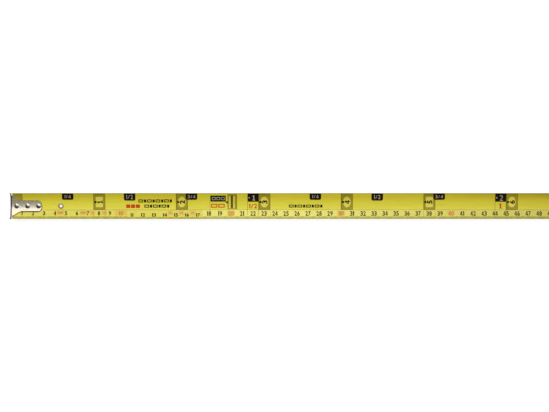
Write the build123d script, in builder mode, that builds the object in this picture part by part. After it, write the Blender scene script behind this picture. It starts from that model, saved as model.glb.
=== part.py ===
from build123d import *
import os
from math import sin, cos, atan2, sqrt, pi, radians, degrees

os.makedirs("parts", exist_ok=True)

# ------------------------------------------------------------------
# Pocket tape rule, blade pulled out.  Millimetres.
# Origin: centre of the base pad's underside.  +Z up, blade along X, hook at -X.
# ------------------------------------------------------------------

# blade
ZERO_X = -560.0          # zero of the scale
BLADE_T = 0.2            # strip thickness with its coating
BLADE_R = 19.8           # radius of the trough, mid thickness
BLADE_HALF = 0.632       # half angle of the trough, radians (25 mm of strip)
BLADE_W = 25.0           # strip width laid flat
BLADE_Z = 9.2            # underside of the blade on its centre line
TROUGH_Z = BLADE_Z + BLADE_R + BLADE_T / 2     # height of the trough's axis
R_OUT = BLADE_R + BLADE_T / 2
R_IN = BLADE_R - BLADE_T / 2
TIP_START = ZERO_X + 1.2
TIP_END = ZERO_X + 55.0
TROUGH_END = -30.0       # the trough starts to flatten here, inside the case
FLAT_X = 14.0            # fully flat here
FLAT_Z = 10.5
TRAVEL = 518.0

# hook
HOOK_T = 1.0
HOOK_W = 24.4
TONGUE_W = 9.6
TONGUE_END = 27.8
TONGUE_CORNER = 3.5
TONGUE_GAP = 0.08
TONGUE_RO = R_IN - TONGUE_GAP
TONGUE_RI = TONGUE_RO - HOOK_T
HOOK_BOTTOM = 0.3
PLAY = 0.55
RIVETS = (5.3, 15.2, 25.2)
RIVET_R = 1.25
EYE_X = 45.4
EYE_BORE = 1.15
EYE_BARREL = 1.6
EYE_FLANGE = 2.5

# case
FRONT = -39.0
BACK = 37.5
TOP = 70.5
BOTTOM = 1.0
WALL = 2.2
SHELL_Y = 16.2
CAV_Y = 14.0
SKIN = 1.3               # rubber on the sides
RUB = 1.5                # rubber round the rim
SHELL_PTS = [(FRONT, BOTTOM), (BACK, BOTTOM), (BACK, TOP), (FRONT, TOP)]
SHELL_RAD = [3.0, 4.0, 20.5, 22.0]
CAV_PTS = [(FRONT + WALL, BOTTOM + WALL), (BACK - WALL, BOTTOM + WALL), (BACK - WALL, TOP - WALL), (FRONT + WALL, TOP - WALL)]
CAV_RAD = [0.0, 1.8, 18.3, 19.8]
RUB_PTS = [(FRONT - RUB, BOTTOM - RUB), (BACK + RUB, BOTTOM - RUB), (BACK + RUB, TOP + RUB), (FRONT - RUB, TOP + RUB)]
RUB_RAD = [4.5, 5.5, 22.0, 23.5]
SCREWS = [(30.5, 11.0), (28.0, 60.5), (-27.0, 60.0), (-27.5, 20.0)]
BOSS_R = 3.3
DISC = (3.0, 38.0)
DISC_R = 23.0

# drum
AXLE = (0.0, 39.7)
AXLE_R = 4.0
COIL_RI = 20.0
COIL_RO = 25.2
FLANGE_R = 25.5

# lock
LOCK_TRAVEL = 6.0

# ------------------------------------------------------------------
# Case shells
# ------------------------------------------------------------------
with BuildPart() as case_shell_right:
    with BuildSketch(Plane.XZ.offset(-SHELL_Y)):
        with BuildLine():
            FilletPolyline(*SHELL_PTS, radius=SHELL_RAD, close=True)
        make_face()
    extrude(amount=SHELL_Y)
    fillet(case_shell_right.faces().sort_by(Axis.Y)[-1].edges(), radius=1.6)
    with BuildSketch(Plane.XZ.offset(-CAV_Y)):
        with BuildLine():
            FilletPolyline(*CAV_PTS, radius=CAV_RAD, close=True)
        make_face()
    extrude(amount=CAV_Y, mode=Mode.SUBTRACT)
    # screw posts
    with BuildSketch(Plane.XZ.offset(-CAV_Y)):
        with Locations(*SCREWS):
            Circle(BOSS_R)
    extrude(amount=CAV_Y)
    with BuildSketch(Plane.XZ.offset(-SHELL_Y)):
        with Locations(*SCREWS):
            Circle(1.45)
    extrude(amount=SHELL_Y, mode=Mode.SUBTRACT)
    with BuildSketch(Plane.XZ.offset(-SHELL_Y)):
        with Locations(*SCREWS):
            Circle(2.9)
    extrude(amount=2.0, mode=Mode.SUBTRACT)
    # spindle socket and the belt clip screw's hole
    with BuildSketch(Plane.XZ.offset(-15.2)):
        with Locations(AXLE):
            Circle(AXLE_R)
    extrude(amount=1.2, mode=Mode.SUBTRACT)
    with BuildSketch(Plane.XZ.offset(-SHELL_Y)):
        with Locations(AXLE):
            Circle(1.7)
    extrude(amount=1.0, mode=Mode.SUBTRACT)
    # blade mouth
    with Locations((FRONT + WALL / 2, 0, 11.9)):
        Box(WALL + 1.0, 26.0, 9.0, mode=Mode.SUBTRACT)
    # lock slot
    with Locations((FRONT + WALL / 2, 0, 40.0)):
        Box(WALL + 1.0, 8.4, 14.6, mode=Mode.SUBTRACT)
    # bumper peg hole
    with BuildSketch(Plane.YZ.offset(FRONT)):
        with Locations((6.0, 5.6)):
            Circle(1.2)
    extrude(amount=WALL, mode=Mode.SUBTRACT)
    # recess for the base pad
    with BuildSketch(Plane.XY.offset(BOTTOM)):
        RectangleRounded(61.0, 24.0, 4.0)
    extrude(amount=1.0, mode=Mode.SUBTRACT)
case_shell_right.part.label = "case_shell_right"
export_step(case_shell_right.part, "parts/case_shell_right.step")

with BuildPart() as case_shell_left:
    with BuildSketch(Plane.XZ):
        with BuildLine():
            FilletPolyline(*SHELL_PTS, radius=SHELL_RAD, close=True)
        make_face()
    extrude(amount=SHELL_Y)
    fillet(case_shell_left.faces().sort_by(Axis.Y)[0].edges(), radius=1.6)
    with BuildSketch(Plane.XZ):
        with BuildLine():
            FilletPolyline(*CAV_PTS, radius=CAV_RAD, close=True)
        make_face()
    extrude(amount=CAV_Y, mode=Mode.SUBTRACT)
    with BuildSketch(Plane.XZ):
        with Locations(*SCREWS):
            Circle(BOSS_R)
    extrude(amount=CAV_Y)
    with BuildSketch(Plane.XZ):
        with Locations(*SCREWS):
            Circle(RIVET_R)
    extrude(amount=12.0, mode=Mode.SUBTRACT)
    with BuildSketch(Plane.XZ.offset(CAV_Y)):
        with Locations(AXLE):
            Circle(AXLE_R)
    extrude(amount=1.2, mode=Mode.SUBTRACT)
    with Locations((FRONT + WALL / 2, 0, 11.9)):
        Box(WALL + 1.0, 26.0, 9.0, mode=Mode.SUBTRACT)
    with Locations((FRONT + WALL / 2, 0, 40.0)):
        Box(WALL + 1.0, 8.4, 14.6, mode=Mode.SUBTRACT)
    with BuildSketch(Plane.YZ.offset(FRONT)):
        with Locations((-6.0, 5.6)):
            Circle(1.2)
    extrude(amount=WALL, mode=Mode.SUBTRACT)
    with BuildSketch(Plane.XY.offset(BOTTOM)):
        RectangleRounded(61.0, 24.0, 4.0)
    extrude(amount=1.0, mode=Mode.SUBTRACT)
case_shell_left.part.label = "case_shell_left"
export_step(case_shell_left.part, "parts/case_shell_left.step")

# ------------------------------------------------------------------
# Rubber overmould: rim band and side skin, open at the front and round the side plate
# ------------------------------------------------------------------
with BuildPart() as rubber_grip_right:
    with BuildSketch(Plane.XZ.offset(-(SHELL_Y + SKIN))):
        with BuildLine():
            FilletPolyline(*RUB_PTS, radius=RUB_RAD, close=True)
        make_face()
        with Locations((-62.0, 22.0)):
            Circle(38.0, mode=Mode.SUBTRACT)
        with Locations((0, -14.0)):
            Rectangle(120.0, 40.0, mode=Mode.SUBTRACT)
    extrude(amount=SHELL_Y + SKIN)
    fillet(rubber_grip_right.faces().sort_by(Axis.Y)[-1].edges(), radius=1.0)
    with BuildSketch(Plane.XZ.offset(-(SHELL_Y + SKIN))):
        with Locations(AXLE):
            Circle(24.5)
    extrude(amount=SKIN, mode=Mode.SUBTRACT)
    with BuildSketch(Plane.XZ.offset(-SHELL_Y)):
        with BuildLine():
            FilletPolyline(*SHELL_PTS, radius=SHELL_RAD, close=True)
        make_face()
    extrude(amount=SHELL_Y, mode=Mode.SUBTRACT)
    with BuildSketch(Plane.XZ.offset(-(SHELL_Y + SKIN))):
        with Locations(*SCREWS[:3]):
            Circle(3.3)
    extrude(amount=SKIN, mode=Mode.SUBTRACT)
    # finger grooves on the back
    with Locations(*[(BACK + RUB, 0, z) for z in (20.0, 26.0, 32.0, 38.0, 44.0)]):
        Box(1.2, 60.0, 2.0, mode=Mode.SUBTRACT)
rubber_grip_right.part.label = "rubber_grip_right"
export_step(rubber_grip_right.part, "parts/rubber_grip_right.step")

with BuildPart() as rubber_grip_left:
    with BuildSketch(Plane.XZ):
        with BuildLine():
            FilletPolyline(*RUB_PTS, radius=RUB_RAD, close=True)
        make_face()
        with Locations((-62.0, 22.0)):
            Circle(38.0, mode=Mode.SUBTRACT)
        with Locations((0, -14.0)):
            Rectangle(120.0, 40.0, mode=Mode.SUBTRACT)
    extrude(amount=SHELL_Y + SKIN)
    fillet(rubber_grip_left.faces().sort_by(Axis.Y)[0].edges(), radius=1.0)
    with BuildSketch(Plane.XZ.offset(SHELL_Y)):
        with Locations(DISC):
            Circle(DISC_R + 0.2)
    extrude(amount=SKIN, mode=Mode.SUBTRACT)
    with BuildSketch(Plane.XZ):
        with BuildLine():
            FilletPolyline(*SHELL_PTS, radius=SHELL_RAD, close=True)
        make_face()
    extrude(amount=SHELL_Y, mode=Mode.SUBTRACT)
    with Locations(*[(BACK + RUB, 0, z) for z in (20.0, 26.0, 32.0, 38.0, 44.0)]):
        Box(1.2, 60.0, 2.0, mode=Mode.SUBTRACT)
rubber_grip_left.part.label = "rubber_grip_left"
export_step(rubber_grip_left.part, "parts/rubber_grip_left.step")

# blank side plate
with BuildPart() as side_plate:
    with BuildSketch(Plane.XZ.offset(SHELL_Y)):
        with Locations(DISC):
            Circle(DISC_R)
    extrude(amount=1.0)
    fillet(side_plate.faces().sort_by(Axis.Y)[0].edges(), radius=0.5)
    with BuildSketch(Plane.XZ.offset(SHELL_Y + 1.0)):
        with Locations(DISC):
            Circle(DISC_R - 3.0)
            Circle(DISC_R - 3.8, mode=Mode.SUBTRACT)
    extrude(amount=-0.35, mode=Mode.SUBTRACT)
side_plate.part.label = "side_plate"
export_step(side_plate.part, "parts/side_plate.step")

# base pad
with BuildPart() as base_pad:
    with BuildSketch(Plane.XY):
        RectangleRounded(60.8, 23.8, 3.9)
    extrude(amount=2.0)
    chamfer(base_pad.faces().sort_by(Axis.Z)[0].edges(), length=0.4)
base_pad.part.label = "base_pad"
export_step(base_pad.part, "parts/base_pad.step")

# mouth guide: saddle under the blade with a channel for the rivet tails
with BuildPart() as mouth_guide:
    with BuildSketch(Plane.YZ.offset(FRONT + WALL + 0.2)):
        with Locations((0, 8.1)):
            Rectangle(25.6, 9.8)
        with Locations((0, TROUGH_Z)):
            Circle(R_OUT + 0.3, mode=Mode.SUBTRACT)
        with Locations((0, 9.0)):
            Rectangle(6.4, 2.8, mode=Mode.SUBTRACT)
    extrude(amount=9.5)
mouth_guide.part.label = "mouth_guide"
export_step(mouth_guide.part, "parts/mouth_guide.step")

# hook bumper with two pegs through the front wall
with BuildPart() as hook_bumper:
    with BuildSketch(Plane.YZ.offset(FRONT - 1.6)):
        with Locations((0, 5.6)):
            RectangleRounded(20.0, 3.2, 0.9)
    extrude(amount=1.6)
    with BuildSketch(Plane.YZ.offset(FRONT)):
        with Locations((-6.0, 5.6), (6.0, 5.6)):
            Circle(1.2)
    extrude(amount=WALL)
hook_bumper.part.label = "hook_bumper"
export_step(hook_bumper.part, "parts/hook_bumper.step")

# ------------------------------------------------------------------
# Spindle, drum, spring, wound blade
# ------------------------------------------------------------------
with BuildPart() as spindle:
    with BuildSketch(Plane.XZ.offset(-15.2)):
        with Locations(AXLE):
            Circle(AXLE_R)
    extrude(amount=30.4)
    with BuildSketch(Plane.XZ.offset(-15.2)):
        with Locations(AXLE):
            Circle(1.5)
    extrude(amount=12.0, mode=Mode.SUBTRACT)
    # slot for the spring's inner tail
    with Locations((-2.0, -3.25, AXLE[1])):
        Box(5.0, 13.0, 0.6, mode=Mode.SUBTRACT)
spindle.part.label = "spindle"
export_step(spindle.part, "parts/spindle.step")

with BuildPart() as blade_drum:
    # web with its outer flange
    with BuildSketch(Plane.XZ.offset(12.7)):
        with Locations(AXLE):
            Circle(FLANGE_R)
            Circle(AXLE_R + 0.06, mode=Mode.SUBTRACT)
    extrude(amount=0.8)
    # bearing hub
    with BuildSketch(Plane.XZ.offset(10.2)):
        with Locations(AXLE):
            Circle(6.2)
            Circle(AXLE_R + 0.06, mode=Mode.SUBTRACT)
    extrude(amount=2.5)
    # core wall
    with BuildSketch(Plane.XZ.offset(-12.7)):
        with Locations(AXLE):
            Circle(COIL_RI - 0.1)
            Circle(18.4, mode=Mode.SUBTRACT)
    extrude(amount=25.4)
blade_drum.part.label = "blade_drum"
export_step(blade_drum.part, "parts/blade_drum.step")

with BuildPart() as drum_cover:
    with BuildSketch(Plane.XZ.offset(-13.5)):
        with Locations(AXLE):
            Circle(FLANGE_R)
            Circle(AXLE_R + 0.06, mode=Mode.SUBTRACT)
    extrude(amount=0.8)
    with BuildSketch(Plane.XZ.offset(-12.7)):
        with Locations(AXLE):
            Circle(6.2)
            Circle(AXLE_R + 0.06, mode=Mode.SUBTRACT)
    extrude(amount=2.5)
    with BuildSketch(Plane.XZ.offset(-13.5)):
        with Locations(AXLE):
            with PolarLocations(12.5, 6):
                Circle(3.2)
    extrude(amount=0.8, mode=Mode.SUBTRACT)
drum_cover.part.label = "drum_cover"
export_step(drum_cover.part, "parts/drum_cover.step")

with BuildPart() as wound_blade:
    with BuildSketch(Plane.XZ.offset(-BLADE_W / 2)):
        with Locations(AXLE):
            Circle(COIL_RO)
            Circle(COIL_RI, mode=Mode.SUBTRACT)
    extrude(amount=BLADE_W)
wound_blade.part.label = "wound_blade"
export_step(wound_blade.part, "parts/wound_blade.step")

# power spring: strip wound in half turns, inner tail in the spindle's slot
SPRING_T = 0.3
SPRING_PITCH = 1.35      # radial growth per turn
SPRING_HALVES = 20
with BuildPart() as power_spring:
    with BuildSketch(Plane.XZ.offset(-3.0)):
        with BuildLine():
            # half turns about two centres, SPRING_PITCH / 2 apart, drawn as two parallel walls
            inner = []
            outer = []
            cx = AXLE[0]
            r = 4.7
            side = -1
            for k in range(SPRING_HALVES):
                a0 = 180.0 if side < 0 else 0.0
                inner.append(CenterArc((cx, AXLE[1]), r - SPRING_T / 2, a0, 180.0))
                outer.append(CenterArc((cx, AXLE[1]), r + SPRING_T / 2, a0, 180.0))
                # the next half turn starts where this one ends
                end_x = cx - side * r
                r_next = r + SPRING_PITCH / 2
                cx = end_x + side * r_next
                r = r_next
                side = -side
            # tail from the spindle's slot to the first half turn
            x_in = AXLE[0] - (4.7 - SPRING_T / 2)
            x_out = AXLE[0] - (4.7 + SPRING_T / 2)
            z = AXLE[1]
            Polyline((x_in, z), (-1.2, z), (-1.2, z + SPRING_T), (x_out, z + SPRING_T), (x_out, z))
            Line(inner[-1] @ 1, outer[-1] @ 1)
        make_face()
    extrude(amount=6.0 + 6.0)
power_spring.part.label = "power_spring"
export_step(power_spring.part, "parts/power_spring.step")

# ------------------------------------------------------------------
# Blade
# ------------------------------------------------------------------
B_DEG = degrees(BLADE_HALF)
with BuildPart() as blade_tip:
    with BuildSketch(Plane.YZ.offset(TIP_START)):
        with BuildLine():
            lo = CenterArc((0, TROUGH_Z), R_OUT, -90 - B_DEG, 2 * B_DEG)
            hi = CenterArc((0, TROUGH_Z), R_IN, -90 - B_DEG, 2 * B_DEG)
            Line(lo @ 0, hi @ 0)
            Line(lo @ 1, hi @ 1)
        make_face()
    extrude(amount=TIP_END - TIP_START)
    with BuildSketch(Plane.XY):
        with Locations(*[(ZERO_X + d, 0) for d in RIVETS]):
            Circle(RIVET_R)
        with Locations((ZERO_X + EYE_X, 0)):
            Circle(EYE_BARREL)
    extrude(amount=15.0, mode=Mode.SUBTRACT)
blade_tip.part.label = "blade_tip"
export_step(blade_tip.part, "parts/blade_tip.step")

with BuildPart() as blade_strip:
    with BuildSketch(Plane.YZ.offset(TIP_END)):
        with BuildLine():
            lo = CenterArc((0, TROUGH_Z), R_OUT, -90 - B_DEG, 2 * B_DEG)
            hi = CenterArc((0, TROUGH_Z), R_IN, -90 - B_DEG, 2 * B_DEG)
            Line(lo @ 0, hi @ 0)
            Line(lo @ 1, hi @ 1)
        make_face()
    extrude(amount=TROUGH_END - TIP_END)
    # flattening length inside the case
    with BuildSketch(Plane.YZ.offset(TROUGH_END)):
        with BuildLine():
            lo = CenterArc((0, TROUGH_Z), R_OUT, -90 - B_DEG, 2 * B_DEG)
            hi = CenterArc((0, TROUGH_Z), R_IN, -90 - B_DEG, 2 * B_DEG)
            Line(lo @ 0, hi @ 0)
            Line(lo @ 1, hi @ 1)
        make_face()
    with BuildSketch(Plane.YZ.offset(FLAT_X)):
        with Locations((0, FLAT_Z)):
            Rectangle(BLADE_W, BLADE_T)
    loft()
blade_strip.part.label = "blade_strip"
export_step(blade_strip.part, "parts/blade_strip.step")

# flat lead-in, from the floor of the case round the back and over the top on to the coil
A1_R = 18.5
A1_C = (FLAT_X + 0.05, FLAT_Z + A1_R)
LAP_R = COIL_RO + 0.4
A2_X = A1_C[0] + A1_R
DZ = AXLE[1] - A1_C[1]
A2_R = (A2_X ** 2 + DZ ** 2 - LAP_R ** 2) / (2 * (A2_X - LAP_R))
A2_C = (A2_X - A2_R, A1_C[1])
A2_END = degrees(atan2(DZ, AXLE[0] - A2_C[0]))
LAP_END = 105.0
with BuildPart() as blade_lead:
    with BuildSketch(Plane.XZ.offset(-BLADE_W / 2)):
        with BuildLine():
            for dr in (-BLADE_T / 2, BLADE_T / 2):
                CenterArc(A1_C, A1_R + dr, -90, 90)
                CenterArc(A2_C, A2_R + dr, 0, A2_END)
                CenterArc(AXLE, LAP_R + dr, A2_END, LAP_END - A2_END)
            Line((A1_C[0], FLAT_Z - BLADE_T / 2), (A1_C[0], FLAT_Z + BLADE_T / 2))
            ca, sa = cos(radians(LAP_END)), sin(radians(LAP_END))
            Line((AXLE[0] + (LAP_R - BLADE_T / 2) * ca, AXLE[1] + (LAP_R - BLADE_T / 2) * sa),
                 (AXLE[0] + (LAP_R + BLADE_T / 2) * ca, AXLE[1] + (LAP_R + BLADE_T / 2) * sa))
        make_face()
    extrude(amount=BLADE_W)
blade_lead.part.label = "blade_lead"
export_step(blade_lead.part, "parts/blade_lead.step")

# ------------------------------------------------------------------
# End hook, rivets, eyelet
# ------------------------------------------------------------------
HW = HOOK_W / 2
TW = TONGUE_W / 2
T_DEG = degrees(0.70)
with BuildPart() as end_hook:
    # face plate in plan: straight, with both ends turned forward
    with BuildSketch(Plane.XY.offset(HOOK_BOTTOM)):
        with BuildLine():
            Polyline(*[(ZERO_X + x, y) for x, y in [
                (-0.55, -9.9), (-0.55, 9.9), (-1.35, HW), (-0.3, HW), (0.45, 10.0),
                (0.45, -10.0), (-0.3, -HW), (-1.35, -HW)]], close=True)
        make_face()
    extrude(amount=16.0)
    # front outline: rounded bottom corners, top follows the tongue's trough
    with BuildSketch(Plane.YZ.offset(ZERO_X - 2.0)):
        with Locations((0, 11.0 + HOOK_BOTTOM)):
            RectangleRounded(HOOK_W, 22.0, 3.0)
        with Locations((0, TROUGH_Z)):
            Circle(TONGUE_RI, mode=Mode.SUBTRACT)
    extrude(amount=4.0, mode=Mode.INTERSECT)
    # catch face: the flat that meets the end of the work
    with BuildSketch(Plane.YZ.offset(ZERO_X + 0.45)):
        with Locations((0, (HOOK_BOTTOM + 8.3) / 2)):
            Rectangle(18.0, 8.3 - HOOK_BOTTOM)
    extrude(amount=0.1)
    # tongue: sheet formed to the trough
    with BuildSketch(Plane.YZ.offset(ZERO_X - 0.55)):
        with BuildLine():
            lo = CenterArc((0, TROUGH_Z), TONGUE_RO, -90 - T_DEG, 2 * T_DEG)
            hi = CenterArc((0, TROUGH_Z), TONGUE_RI, -90 - T_DEG, 2 * T_DEG)
            Line(lo @ 0, hi @ 0)
            Line(lo @ 1, hi @ 1)
        make_face()
        with Locations((0, 10.0)):
            Rectangle(HOOK_W, 20.0, mode=Mode.INTERSECT)
    extrude(amount=TONGUE_END + 0.55)
    # flare and rounded end, both sides
    for s in (1, -1):
        with BuildSketch(Plane.XY.offset(8.0)):
            with BuildLine():
                flare = Spline((ZERO_X + 0.9, s * 9.5), (ZERO_X + 3.1, s * 8.1), (ZERO_X + 5.2, s * 6.75),
                               (ZERO_X + 7.6, s * 5.45), (ZERO_X + 10.6, s * TW),
                               tangents=((1.0, -s * 0.6), (1.0, -s * 0.02)))
                corner = (ZERO_X + TONGUE_END - TONGUE_CORNER, s * (TW - TONGUE_CORNER))
                a = Line(flare @ 1, (corner[0], s * TW))
                b = CenterArc(corner, TONGUE_CORNER, s * 90, -s * 90)
                Polyline(b @ 1, (ZERO_X + TONGUE_END + 1, corner[1]), (ZERO_X + TONGUE_END + 1, s * (HW + 1)),
                         (ZERO_X - 0.3, s * (HW + 1)), (ZERO_X - 0.3, s * HW), (ZERO_X + 0.45, s * 10.0), flare @ 0)
            make_face()
        extrude(amount=10.0, mode=Mode.SUBTRACT)
    # rounded outside of the bend
    fillet(end_hook.edges().filter_by(lambda e: e.center().X < ZERO_X - 0.4 and e.center().Z > 10.0
                                      and e.length > 2.0 and abs(e.center().Y) < 11.9), radius=0.8)
    # slots that give the hook its end play round the rivets
    with BuildSketch(Plane.XY.offset(8.0)):
        with Locations(*[(ZERO_X + d, 0) for d in RIVETS]):
            SlotOverall(3.9, 2.7)
    extrude(amount=4.0, mode=Mode.SUBTRACT)
end_hook.part.label = "end_hook"
export_step(end_hook.part, "parts/end_hook.step")

HEAD_R = 2.25
HEAD_H = 0.65
HEAD_Z = TROUGH_Z - TONGUE_RI + 0.18
CAP_R = (HEAD_R ** 2 + HEAD_H ** 2) / (2 * HEAD_H)
with BuildPart() as hook_rivets:
    for d in RIVETS:
        with BuildSketch(Plane(origin=(ZERO_X + d, 0, 0), x_dir=(1, 0, 0), z_dir=(0, -1, 0))):
            with BuildLine():
                Polyline((0, BLADE_Z - 0.6), (1.7, BLADE_Z - 0.6), (1.9, BLADE_Z - 0.35), (1.9, BLADE_Z),
                         (RIVET_R, BLADE_Z), (RIVET_R, HEAD_Z), (HEAD_R, HEAD_Z))
                RadiusArc((HEAD_R, HEAD_Z), (0, HEAD_Z + HEAD_H), -CAP_R)
                Line((0, HEAD_Z + HEAD_H), (0, BLADE_Z - 0.6))
            make_face()
        revolve(axis=Axis((ZERO_X + d, 0, 0), (0, 0, 1)))
hook_rivets.part.label = "hook_rivets"
export_step(hook_rivets.part, "parts/hook_rivets.step")

EYE_TOP = TROUGH_Z - sqrt(R_IN ** 2 - EYE_FLANGE ** 2)
with BuildPart() as nail_eyelet:
    with BuildSketch(Plane(origin=(ZERO_X + EYE_X, 0, 0), x_dir=(1, 0, 0), z_dir=(0, -1, 0))):
        with BuildLine():
            Polyline((EYE_BORE, BLADE_Z - 0.3), (2.2, BLADE_Z - 0.3), (2.4, BLADE_Z - 0.1), (2.4, BLADE_Z),
                     (EYE_BARREL, BLADE_Z), (EYE_BARREL, EYE_TOP), (EYE_FLANGE, EYE_TOP), (EYE_FLANGE, EYE_TOP + 0.12),
                     (2.1, EYE_TOP + 0.32), (EYE_BORE, EYE_TOP + 0.32), close=True)
        make_face()
    revolve(axis=Axis((ZERO_X + EYE_X, 0, 0), (0, 0, 1)))
nail_eyelet.part.label = "nail_eyelet"
export_step(nail_eyelet.part, "parts/nail_eyelet.step")

# ------------------------------------------------------------------
# Thumb lock and brake pad
# ------------------------------------------------------------------
with BuildPart() as thumb_lock:
    # button
    with BuildSketch(Plane.XZ.offset(-8.0)):
        with BuildLine():
            FilletPolyline((FRONT - 0.3, 28.6), (FRONT - 2.0, 28.6), (FRONT - 5.2, 33.0), (FRONT - 3.6, 44.6), (FRONT - 0.3, 44.6),
                           radius=[0.0, 1.4, 1.6, 1.2, 0.0], close=True)
        make_face()
    extrude(amount=16.0)
    # thumb ridges
    with Locations(*[(FRONT - 4.95 + 0.138 * (z - 34.2), 0, z) for z in (35.0, 37.2, 39.4, 41.6)]):
        Box(1.2, 20.0, 1.0, mode=Mode.SUBTRACT)
    # neck through the slot
    with Locations((FRONT + 1.1, 0, 37.0)):
        Box(3.4, 8.0, 8.0)
    # slider behind the front wall
    with Locations((FRONT + WALL + 1.6, 0, 36.5)):
        Box(2.0, 14.0, 17.0)
    # arm to the brake pad
    with Locations((-32.0, 0, 43.0)):
        Box(6.0, 9.0, 4.0)
thumb_lock.part.label = "thumb_lock"
export_step(thumb_lock.part, "parts/thumb_lock.step")

with BuildPart() as brake_pad:
    with BuildSketch(Plane.XZ.offset(-7.0)):
        with Locations((-26.2, 44.5)):
            Rectangle(5.6, 7.0)
        with Locations(AXLE):
            Circle(COIL_RO + 0.3, mode=Mode.SUBTRACT)
    extrude(amount=14.0)
brake_pad.part.label = "brake_pad"
export_step(brake_pad.part, "parts/brake_pad.step")

# ------------------------------------------------------------------
# Screws and belt clip
# ------------------------------------------------------------------
with BuildPart() as case_screws:
    with BuildSketch(Plane.XZ.offset(-15.9)):
        with Locations(*SCREWS):
            Circle(2.6)
    extrude(amount=1.7)
    with BuildSketch(Plane.XZ.offset(-14.2)):
        with Locations(*SCREWS):
            Circle(RIVET_R)
    extrude(amount=26.0)
    with BuildSketch(Plane.XZ.offset(-15.9)):
        with Locations(*SCREWS):
            Rectangle(3.2, 0.7)
            Rectangle(0.7, 3.2)
    extrude(amount=0.9, mode=Mode.SUBTRACT)
case_screws.part.label = "case_screws"
export_step(case_screws.part, "parts/case_screws.step")

CLIP_T = 1.0
CLIP_W = 20.0
Y0 = SHELL_Y
Y1 = Y0 + CLIP_T
Y2 = SHELL_Y + SKIN + 5.1
Y3 = Y2 + CLIP_T
with BuildPart() as belt_clip:
    with BuildSketch(Plane.YZ.offset(-CLIP_W / 2)):
        with BuildLine():
            FilletPolyline((Y0, 31.0), (Y0, 60.8), (Y3, 60.8), (Y3, 17.6), (Y3 + 2.6, 11.4), (Y2 + 2.75, 11.0), (Y2, 17.4), (Y2, 59.8), (Y1, 59.8), (Y1, 31.0),
                           radius=[0.0, 3.6, 3.6, 4.0, 0.0, 0.0, 5.0, 2.6, 2.6, 0.0], close=True)
        make_face()
    extrude(amount=CLIP_W)
    # rounded lower corners of the outer leaf
    with BuildSketch(Plane.XZ.offset(-(Y3 + 6.0))):
        with Locations((0, 40.0)):
            RectangleRounded(CLIP_W, 60.0, 4.0)
    extrude(amount=20.0, mode=Mode.INTERSECT)
    # screw hole, and the driver's hole in front of it
    with BuildSketch(Plane.XZ.offset(-(Y1 + 0.1))):
        with Locations(AXLE):
            Circle(1.7)
    extrude(amount=CLIP_T + 0.2, mode=Mode.SUBTRACT)
    with BuildSketch(Plane.XZ.offset(-(Y3 + 0.1))):
        with Locations(AXLE):
            Circle(4.2)
    extrude(amount=CLIP_T + 0.2, mode=Mode.SUBTRACT)
belt_clip.part.label = "belt_clip"
export_step(belt_clip.part, "parts/belt_clip.step")

with BuildPart() as clip_screw:
    with BuildSketch(Plane.XZ.offset(-(Y1 + 1.6))):
        with Locations(AXLE):
            Circle(3.3)
    extrude(amount=1.6)
    fillet(clip_screw.faces().sort_by(Axis.Y)[-1].edges(), radius=1.0)
    with BuildSketch(Plane.XZ.offset(-Y1)):
        with Locations(AXLE):
            Circle(1.5)
    extrude(amount=Y1 - 4.0)
    with BuildSketch(Plane.XZ.offset(-(Y1 + 1.6))):
        with Locations(AXLE):
            Rectangle(3.6, 0.8)
            Rectangle(0.8, 3.6)
    extrude(amount=1.0, mode=Mode.SUBTRACT)
clip_screw.part.label = "clip_screw"
export_step(clip_screw.part, "parts/clip_screw.step")
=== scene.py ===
import math

import bmesh
import bpy
from mathutils import Matrix, Vector


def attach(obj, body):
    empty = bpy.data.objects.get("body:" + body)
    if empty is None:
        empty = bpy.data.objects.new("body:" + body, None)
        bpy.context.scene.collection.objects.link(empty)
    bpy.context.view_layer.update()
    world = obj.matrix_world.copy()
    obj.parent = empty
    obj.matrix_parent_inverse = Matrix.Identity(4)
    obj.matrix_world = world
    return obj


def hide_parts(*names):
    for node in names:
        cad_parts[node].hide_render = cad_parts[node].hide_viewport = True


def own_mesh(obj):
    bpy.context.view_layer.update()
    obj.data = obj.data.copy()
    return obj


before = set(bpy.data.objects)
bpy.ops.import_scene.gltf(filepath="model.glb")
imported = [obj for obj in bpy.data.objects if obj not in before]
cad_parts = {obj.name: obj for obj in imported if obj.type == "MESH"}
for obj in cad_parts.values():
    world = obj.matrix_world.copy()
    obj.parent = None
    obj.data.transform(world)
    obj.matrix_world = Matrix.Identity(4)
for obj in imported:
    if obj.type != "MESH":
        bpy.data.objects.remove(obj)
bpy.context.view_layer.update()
MM = 0.001

# ------------------------------------------------------------------ dimensions (mm), as in the CAD
ZERO = -560.0
R_MID = 19.8
B_T = 0.2
R_IN = R_MID - B_T / 2
R_OUT = R_MID + B_T / 2
B_Z = 9.2
AX_Z = B_Z + R_OUT
HALF = 0.632
TIP_X = ZERO + 55.0
TROUGH_END = -30.0
FLAT_X = 14.0
FLAT_Z = 10.5
EDGE_Y = R_MID * math.sin(HALF)


def surf(y):
    """height of the trough's inner face"""
    return AX_Z - math.sqrt(max(R_IN * R_IN - y * y, 0.0))


# ------------------------------------------------------------------ materials
def new_mat(name):
    m = bpy.data.materials.new(name)
    m.use_nodes = True
    nt = m.node_tree
    nt.nodes.clear()
    out = nt.nodes.new("ShaderNodeOutputMaterial")
    b = nt.nodes.new("ShaderNodeBsdfPrincipled")
    nt.links.new(b.outputs[0], out.inputs[0])
    return m, nt, b


def coords(nt, scale=(1, 1, 1)):
    tc = nt.nodes.new("ShaderNodeTexCoord")
    mp = nt.nodes.new("ShaderNodeMapping")
    mp.inputs["Scale"].default_value = scale
    nt.links.new(tc.outputs["Object"], mp.inputs["Vector"])
    return mp.outputs[0]


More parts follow.
